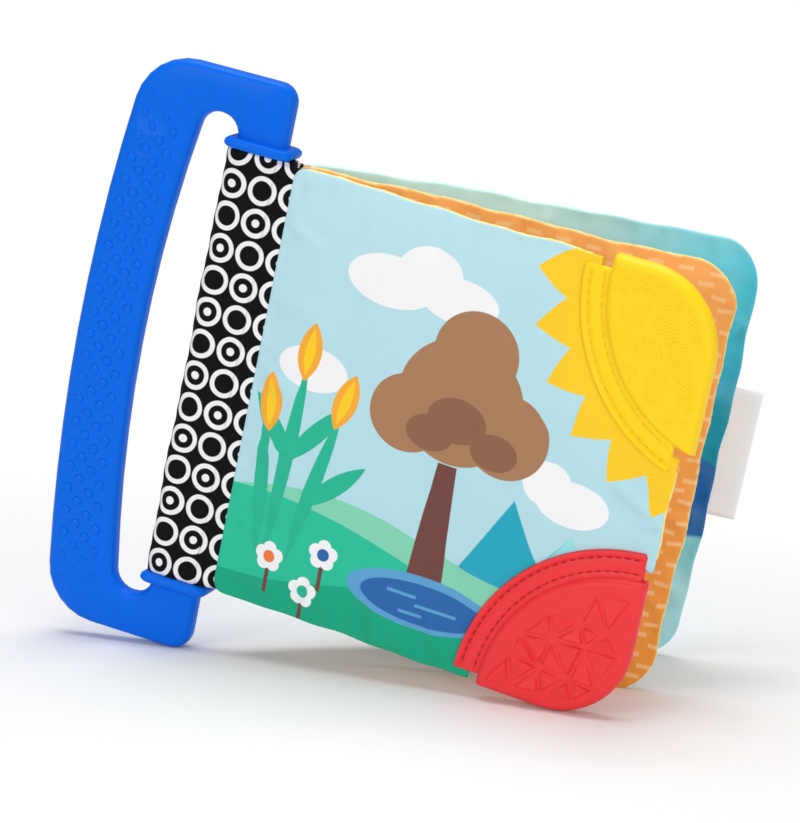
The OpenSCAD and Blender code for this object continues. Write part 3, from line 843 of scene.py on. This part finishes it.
def flange_sheet(centre):
    """The area of a flange, with points closer together at its grooves and its lip."""
    outline = FLANGE_OUTLINE
    span = (85, 185) if centre[1] < 0 else (175, 290)
    radii = (40.0, 47.6, 48.2, 48.7, 49.1, 49.5, 50.0, 51.5, 52.8, 53.2, 53.6, 54.0, 54.4,
             55.0, 55.4, 55.75, 56.0)
    chains = [(clean(arc(centre, r, *span, step=1.0), outline), False) for r in radii]
    chains += [(plate_loop(*outline, inset, 1.0), True) for inset in (0.0, 0.12, 0.4, 0.9)]

    def keep(c):
        r = reach_of(c, centre)
        return (plate_depth(c, *outline) > 0) & (r > 40) & (r < FLANGE_R)
    return triangulate(chains, [], keep)


def pad_sheet(centre, outline, facets):
    """The area of a pad, with points closer together at its rim and round its facets."""
    chains = [(plate_loop(*outline, inset, 1.2), True) for inset in
              (0.0, 0.08, 0.25, 0.5, 0.9, 1.4, 2.0, 2.6, 3.0)]
    span = (80, 190) if centre[1] < 0 else (170, 290)
    for drop in (0.0, 0.3, 0.6, 1.0, 1.5, 2.2, 3.0):
        chains.append((clean(arc(centre, PAD_R - drop, *span, step=1.2), outline), False))
    for outer, inner, _ in facets:
        chains += [([tuple(q) for q in outer], True), ([tuple(q) for q in inner], True)]
    points = np.array([q for q in hex_points(centre[0] - PAD_R - 4, outline[1],
                                               -outline[2], outline[2], 2.2)
                       if math.dist(q, centre) < PAD_R - 3.4])
    points = points[plate_depth(points, *outline) > 3.4]
    on_facet = facet_height(points, [(None, outer, (1, 1, 1)) for outer, _, _ in facets])
    points = [tuple(q) for q in points[on_facet == 0]]

    def keep(c):
        r = reach_of(c, centre)
        return (plate_depth(c, *outline) > 0) & (r < PAD_R)
    return triangulate(chains, points, keep)


def pad_outline(overhang, reach):
    return (LEAF_W - PAD_R - PAD_CORNER_R, LEAF_W + reach, HALF_H + overhang,
            PAD_CORNER_R, PAD_CORNER_R)


def facet_height(p, facets):
    """How far the tilted triangles lift each point."""
    total = np.zeros(len(p))
    for _, (a, b, c), heights in facets:
        area = (b[0] - a[0]) * (c[1] - a[1]) - (b[1] - a[1]) * (c[0] - a[0])
        to_b = ((p[:, 0] - a[0]) * (c[1] - a[1]) - (p[:, 1] - a[1]) * (c[0] - a[0])) / area
        to_c = ((b[0] - a[0]) * (p[:, 1] - a[1]) - (b[1] - a[1]) * (p[:, 0] - a[0])) / area
        to_a = 1 - to_b - to_c
        inside = np.minimum(np.minimum(to_a, to_b), to_c) > -1e-3
        lift = to_a * heights[0] + to_b * heights[1] + to_c * heights[2]
        total = np.where(inside, np.maximum(total, lift), total)
    return total


HATCH_CELL, HATCH_PITCH, HATCH_R, HATCH_RIM = 11.0, 1.05, 0.24, 2.6


def hatch_ridges(centre, outline):
    """Patches of fine ridges, each patch turned its own way, for the yellow pad."""
    rng = np.random.default_rng(9)
    parts = []
    taper = HATCH_R * np.array([0.3, 0.9, 1.0, 0.9, 0.3])
    lines = int(HATCH_CELL / 2 / HATCH_PITCH)
    for cell in hex_points(centre[0] - PAD_R, outline[1] + 4, centre[1] - PAD_R,
                           outline[2] + 4, HATCH_CELL):
        angle = rng.choice([0, 30, 60, 90, 120, 150]) + rng.uniform(-8, 8)
        c, s = math.cos(math.radians(angle)), math.sin(math.radians(angle))
        for k in range(-lines, lines + 1):
            half = HATCH_CELL * 0.52 * math.sqrt(1 - (k / (lines + 0.8)) ** 2)
            half *= rng.uniform(0.8, 1.0)
            a, b = np.linspace(-half, half, 15), k * HATCH_PITCH
            line = np.column_stack([cell[0] + a * c - b * s, cell[1] + a * s + b * c])
            line = line[pad_room(line, centre, outline) > HATCH_RIM]
            if len(line) < 4:
                continue
            at, steps = np.linspace(0, len(line) - 1, 5), np.arange(len(line))
            line = np.column_stack([np.interp(at, steps, line[:, k]) for k in (0, 1)])
            for side in (-1, 1):
                parts.append(tube(raised(line, side * (PAD_T / 2 - 0.06)), taper, 5))
    return parts


def make_teether(name, centre, outline, facets, ridges, material, thread):
    """A pad in relief with its flange, and the thread that sews it to the cover."""
    p, faces = pad_sheet(centre, outline, facets)
    h = pad_height(p, centre, outline) + facet_height(p, facets)
    lip, lip_faces = flange_sheet(centre)
    lip_h = flange_height(lip, centre)
    points, faces = joined([closed_sheet(p, faces, h, -h), *ridges,
                            closed_sheet(lip, lip_faces, lip_h, -lip_h)])
    made = make_object(name, on_front(points), faces, material, points[:, [0, 2]])
    made.data.set_sharp_from_angle(angle=math.radians(32))
    span = (90, 180) if centre[1] < 0 else (175, 285)
    parts = []
    for r, height in FLANGE_GROOVES:
        line = np.array(clean(arc(centre, r, *span, step=0.5), FLANGE_OUTLINE))
        line = line[plate_depth(line, *FLANGE_OUTLINE) > 1.0]
        for side in (-1, 1):
            parts.append(stitches(raised(line, side * height)))
    points, faces = joined(parts)
    seam = make_object(name + "_stitches", on_front(points), faces, thread, points[:, [0, 2]])
    return made, seam


# The sleeve round the bar

def sleeve_profile(samples=96):
    """Points round the sleeve in (x, y), each with how far round from the seam it lies."""
    r, left = SLEEVE_R, -BAR_W - SLEEVE_SIDE_T + SLEEVE_R
    seam_x, seam_y, side_y = SEAM_FACE_X - 0.4, SEAM_HALF_T - 0.4, SLEEVE_HALF_T - r
    points = []
    for cx, cy, radius, start, end, steps in (
            (seam_x, -seam_y, 0.4, -90, 0, 4), (seam_x, seam_y, 0.4, 0, 90, 4),
            (-2.6, side_y, r, 78, 90, 3), (left, side_y, r, 90, 180, 12),
            (left, -side_y, r, 180, 270, 12), (-2.6, -side_y, r, 270, 282, 3)):
        for a in np.radians(np.linspace(start, end, steps)):
            points.append((cx + radius * math.cos(a), cy + radius * math.sin(a)))
    ring = np.array(points + points[:1])
    run = run_along(ring)
    s = np.linspace(0, run[-1], samples + 1)
    return np.column_stack([np.interp(s, run, ring[:, 0]), np.interp(s, run, ring[:, 1])]), s


def make_sleeve(material):
    """The puffed tube of cloth round the handle's bar."""
    ring, s = sleeve_profile()
    heights = np.linspace(-SLEEVE_HALF_H, SLEEVE_HALF_H, 150)
    heights = np.concatenate([[heights[0]], heights, [heights[-1]]])
    out = ring - (-7.0, 0.0)
    out /= np.linalg.norm(out, axis=1)[:, None]
    around = 2 * math.pi * np.arange(len(ring)) / (len(ring) - 1)
    points, uvs = [], []
    front_s = s[-1] - SEAM_FACE_X
    for k, z in enumerate(heights):
        end = min(z + SLEEVE_HALF_H, SLEEVE_HALF_H - z)
        puff = 0.18 * np.sin(3 * around + z * 0.11) + 0.14 * np.sin(5 * around - z * 0.23)
        puff = puff + 0.12 * math.sin(z * 0.9) * np.cos(around) - 0.35 * math.exp(-end / 1.2)
        if k in (0, len(heights) - 1):
            puff = puff - 1.0
        at = ring + out * puff[:, None]
        points.append(np.column_stack([at, np.full(len(ring), z)]))
        uvs.append(np.column_stack([s - front_s, np.full(len(ring), z)]))
    return make_object("sleeve_cloth", book(np.concatenate(points)),
                       grid_quads(len(heights), len(ring)), material, np.concatenate(uvs))


WELT_FROM, WELT_TO, WELT_T = -1.2, 6.9, 0.3


def rim_quads(quads, below):
    """Quads that close the edge between a strip and its other side, below points on."""
    sides = {(q[k], q[(k + 1) % 4]) for q in quads for k in range(4)}
    rim = sorted((a, b) for a, b in sides if (b, a) not in sides)
    return [(b, a, below + a, below + b) for a, b in rim]


def make_welt(name, side, material):
    """A narrow strip of the sleeve's cloth that carries a cover across its hinge."""
    rows, across = 100, 9
    ring, s = sleeve_profile()
    behind = int(np.argmin(np.abs(ring[:, 0] - WELT_FROM) + 100 * (ring[:, 1] < SEAM_HALF_T)))
    print_end = s[behind] - s[-1] + SEAM_FACE_X + WELT_FROM
    points, uvs = [], []
    for z in np.linspace(0.6 - HALF_H, HALF_H - 0.6, rows):
        for f in np.linspace(0, 1, across):
            x = WELT_FROM + (WELT_TO - WELT_FROM) * f
            y = 5.02 - 0.98 * f + 0.1 * math.sin(math.pi * f) * math.sin(z * 0.7 + side)
            points.append((x, side * y, z))
            uvs.append((x if side < 0 else print_end - x, z))
    inner = [(x, y - side * WELT_T, z) for x, y, z in points]
    quads = grid_quads(rows, across, 0, side > 0)
    faces = quads + grid_quads(rows, across, len(points), side < 0) + rim_quads(quads, len(points))
    made = make_object(name, book(points + inner), faces, material, np.array(uvs + uvs))
    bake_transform(made)


# Dots of the handle

def make_dots(material):
    """Low domes in staggered columns over the grip, lower towards its two ends."""
    rings, sides = np.array([0.5, 0.9, 1.2, 1.42, DOT_R]), 14
    turns = 2 * math.pi * np.arange(sides) / sides
    ring_points = np.column_stack([np.outer(rings, np.cos(turns)).ravel(),
                                   np.repeat(DOT_H * np.sqrt(1 - (rings / DOT_R) ** 2), sides),
                                   np.outer(rings, np.sin(turns)).ravel()])
    shape = np.concatenate([[(0, DOT_H, 0)], ring_points])
    faces = [(0, 1 + k, 1 + (k + 1) % sides) for k in range(sides)]
    for first in range(1, len(ring_points) - sides, sides):
        for k in range(sides):
            a, b = first + k, first + (k + 1) % sides
            faces.append((a, a + sides, b + sides, b))
    faces.append(tuple(range(len(ring_points), len(ring_points) - sides, -1)))
    parts = []

    def dome(x, z, side, size):
        points = shape * size * (1, side, 1) + (x, side * (HANDLE_T / 2 - 0.02), z)
        parts.append((points, faces if side < 0 else [f[::-1] for f in faces]))

    fading = DOT_ROWS + 5
    for row in range(-fading, fading + 1):
        z = row * DOT_PITCH
        bow = GRIP_BOW_R - math.sqrt(GRIP_BOW_R ** 2 - z * z)
        for column in range(DOT_COLUMNS + 1):
            if (row + column) % 2:
                continue
            x = bow - HANDLE_REACH + GRIP_W / 2 + (column - DOT_COLUMNS / 2) * DOT_PITCH
            size = 1.0 - 0.14 * max(abs(row) - DOT_ROWS, 0)
            for side in (-1, 1):
                dome(x, z, side, size)
    # A few low ones on the two end bars
    for x, z in ((-38, 84.5), (-31, 81.5), (-26, 86.0), (-19, 82.5), (-12, 85.5)):
        for end in (-1, 1):
            for side in (-1, 1):
                dome(x, end * z, side, 0.42)
    points, faces = joined(parts)
    return make_object("grip_dots", book(points), faces, material)


# The label

def make_label(material):
    """A tape folded at its free edge, a little wavy."""
    rows, across = 25, 11
    points, uvs = [], []
    for side in (1, -1):
        for z in np.linspace(LABEL_Z - LABEL_LEN / 2, LABEL_Z + LABEL_LEN / 2, rows):
            for f in np.linspace(0, 1, across):
                u = BACK_W - LABEL_SEAM + (LABEL_W + LABEL_SEAM) * f
                t = LABEL_T / 2 * math.sqrt(max(1 - max(f - 0.93, 0) ** 2 / 0.07 ** 2, 0))
                n = 0.5 * f * f + 0.18 * math.sin(z * 0.22) * f
                points.append((u, n + side * t, z))
                uvs.append((u, z))
    count = rows * across
    faces = grid_quads(rows, across, 0, True) + grid_quads(rows, across, count)
    for i in (0, rows - 1):
        for a in range(i * across, (i + 1) * across - 1):
            quad = (a, a + 1, count + a + 1, count + a)
            faces.append(quad if i == 0 else quad[::-1])
    return make_object("label_tape", on_back(np.array(points)), faces, material, np.array(uvs))


# Building the object

blue = moulded("blue_plastic", (0, 104, 227), 0.36, specular=0.1, soft=0.0)
red = moulded("red_rubber", (237, 53, 59), 0.42, specular=0.28)
yellow = moulded("yellow_rubber", (253, 213, 18), 0.42, specular=0.25)
red_thread = plain_cloth("red_thread", (190, 26, 36))
yellow_thread = plain_cloth("yellow_thread", (250, 208, 26))
cream = plain_cloth("cream_cloth", (247, 233, 143))
white = plain_cloth("white_tape", (250, 250, 252))
front_print = front_cover_material()
orange = page_material()
teal_in = teal_material("teal_lining")
teal_out = teal_material("teal_cover")
rings = ring_material()

handle = frame["nodes"]["teether_handle"]
handle.data.materials.clear()
handle.data.materials.append(blue)
handle.data.polygons.foreach_set("use_smooth", np.ones(len(handle.data.polygons), bool))
weld = handle.modifiers.new("weld", "WELD")
weld.merge_threshold = 0.00001
split = handle.modifiers.new("split", "EDGE_SPLIT")
split.split_angle = math.radians(38)

dots = make_dots(blue)
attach(dots, "spine")

sleeve = make_sleeve(rings)
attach(sleeve, "spine")
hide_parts("spine_sleeve")

page = make_page(orange)
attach(page, "spine")
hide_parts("page")
page_edge = make_edging("page_edging", LEAF_W, on_page, cream, 0.36, 12, (), PAGE_SEED)
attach(page_edge, "spine")

discs = (LOWER_CENTRE, UPPER_CENTRE)
front = make_half_leaf("front_cover_cloth", LEAF_W, -1, on_front, front_print, 41, discs,
                       FRONT_FOLDS)
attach(front, "front_cover")
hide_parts("front_cover_face", "front_cover_padding")
front_inside = make_half_leaf("front_cover_inside", LEAF_W, 1, on_front, cream, 41, discs)
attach(front_inside, "front_cover")
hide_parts("front_cover_lining")
front_edge = make_edging("front_edging", LEAF_W, on_front, cream, 0.44, 17, discs, 41)
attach(front_edge, "front_cover")

low_pad = pad_outline(LOWER_OVERHANG, LOWER_REACH)
high_pad = pad_outline(UPPER_OVERHANG, UPPER_REACH)
red_pieces = make_teether("red_corner", LOWER_CENTRE, low_pad,
                          relief_facets(LOWER_CENTRE, low_pad), [], red, red_thread)
yellow_pieces = make_teether("yellow_corner", UPPER_CENTRE, high_pad, [],
                             hatch_ridges(UPPER_CENTRE, high_pad), yellow, yellow_thread)
for made, seam, node, slot in ((*red_pieces, "red_corner_teether", "red_moulded"),
                               (*yellow_pieces, "yellow_corner_teether", "yellow_moulded")):
    for piece in (made, seam):
        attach(piece, "front_cover")
    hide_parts(node)

back = make_half_leaf("back_cover_cloth", BACK_W, 1, on_back, teal_out, 61)
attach(back, "back_cover")
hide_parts("back_cover_face", "back_cover_padding")
back_inside = make_half_leaf("back_cover_inside", BACK_W, -1, on_back, teal_in, 61, (),
                             BACK_FOLDS)
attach(back_inside, "back_cover")
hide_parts("back_cover_lining")

label = make_label(white)
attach(label, "back_cover")
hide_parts("sewn_label")

make_welt("front_welt", -1, rings)
make_welt("back_welt", 1, rings)

# Floor, light and camera
floor_mesh = bpy.data.meshes.new("floor")
floor_mesh.from_pydata([(-6, -6, 0), (6, -6, 0), (6, 14, 0), (-6, 14, 0)], [], [(0, 1, 2, 3)])
floor = in_scene("floor", floor_mesh)
SKY_LIGHT = 0.33
FLOOR_NEAR, FLOOR_FADE = 0.13, 6.0


def floor_paper():
    """White paper that keeps the shadow near the book and is plain white further off."""
    made = Finish("floor_paper", (241, 241, 241), 0.9, 0.0)
    x, y = made.first_two(made.node("ShaderNodeTexCoord").outputs["Object"])
    away = ((length_of(x * 0.8, y * 1.3) - FLOOR_NEAR) * FLOOR_FADE).clamped()
    seen = Field(made.tree, made.node("ShaderNodeLightPath").outputs["Is Camera Ray"])
    white = made.node("ShaderNodeEmission")
    mix = made.node("ShaderNodeMixShader")
    made.link((away * seen).socket, mix.inputs[0])
    made.link(made.shader.outputs[0], mix.inputs[1])
    made.link(white.outputs[0], mix.inputs[2])
    made.link(mix.outputs[0], made.tree.nodes["Material Output"].inputs[0])
    return made.done()


floor_mesh.materials.append(floor_paper())

world = bpy.data.worlds.new("studio")
bpy.context.scene.world = world
world.use_nodes = True
sky_nodes = world.node_tree
background = sky_nodes.nodes["Background"]
background.inputs[0].default_value = (1.0, 1.0, 1.0, 1.0)
sky_path = sky_nodes.nodes.new("ShaderNodeLightPath")
seen_sky = sky_nodes.nodes.new("ShaderNodeMix")
seen_sky.inputs[2].default_value = SKY_LIGHT
seen_sky.inputs[3].default_value = 1.0
sky_nodes.links.new(sky_path.outputs["Is Camera Ray"], seen_sky.inputs[0])
sky_nodes.links.new(seen_sky.outputs[0], background.inputs[1])


def lamp(name, place, target, size, watts):
    data = bpy.data.lights.new(name, "AREA")
    data.size, data.energy = size, watts
    made = in_scene(name, data)
    made.location = place
    made.rotation_mode = "QUATERNION"
    made.rotation_quaternion = (Vector(target) - Vector(place)).to_track_quat("-Z", "Y")


lamp("top", (-0.05, 0.1, 1.5), (0, 0, 0), 1.1, 17.0)
lamp("key", (-0.6, -1.4, 0.65), (0, 0, 0.08), 0.5, 5.8)
lamp("fill", (1.2, -1.1, 0.4), (0, 0, 0.08), 0.6, 7.0)

# The camera, fitted to the photograph: its focal length in pixels, angles in radians
FOCAL_PX, PHOTO_PX, SENSOR = 3696.51, 823, 36.0
AZIMUTH, ELEVATION, ROLL = 0.3369, 0.2016, 0.0389
AIM, DISTANCE = Vector((-0.0010628, 0.0, 0.0789153)), 1.16566
camera_data = bpy.data.cameras.new("camera")
camera = in_scene("camera", camera_data)
bpy.context.scene.camera = camera
camera_data.sensor_width = SENSOR
camera_data.lens = SENSOR * FOCAL_PX / PHOTO_PX
backward = Vector((math.sin(AZIMUTH) * math.cos(ELEVATION),
                   -math.cos(AZIMUTH) * math.cos(ELEVATION), math.sin(ELEVATION)))
right = Vector((math.cos(AZIMUTH), math.sin(AZIMUTH), 0))
upward = backward.cross(right)
rolled_right = right * math.cos(ROLL) + upward * math.sin(ROLL)
rolled_up = upward * math.cos(ROLL) - right * math.sin(ROLL)
turn = Matrix((rolled_right, rolled_up, backward)).transposed()
camera.rotation_mode = "QUATERNION"
camera.rotation_quaternion = turn.to_quaternion()
camera.location = AIM + backward * DISTANCE

bpy.context.scene.view_settings.view_transform = "Standard"
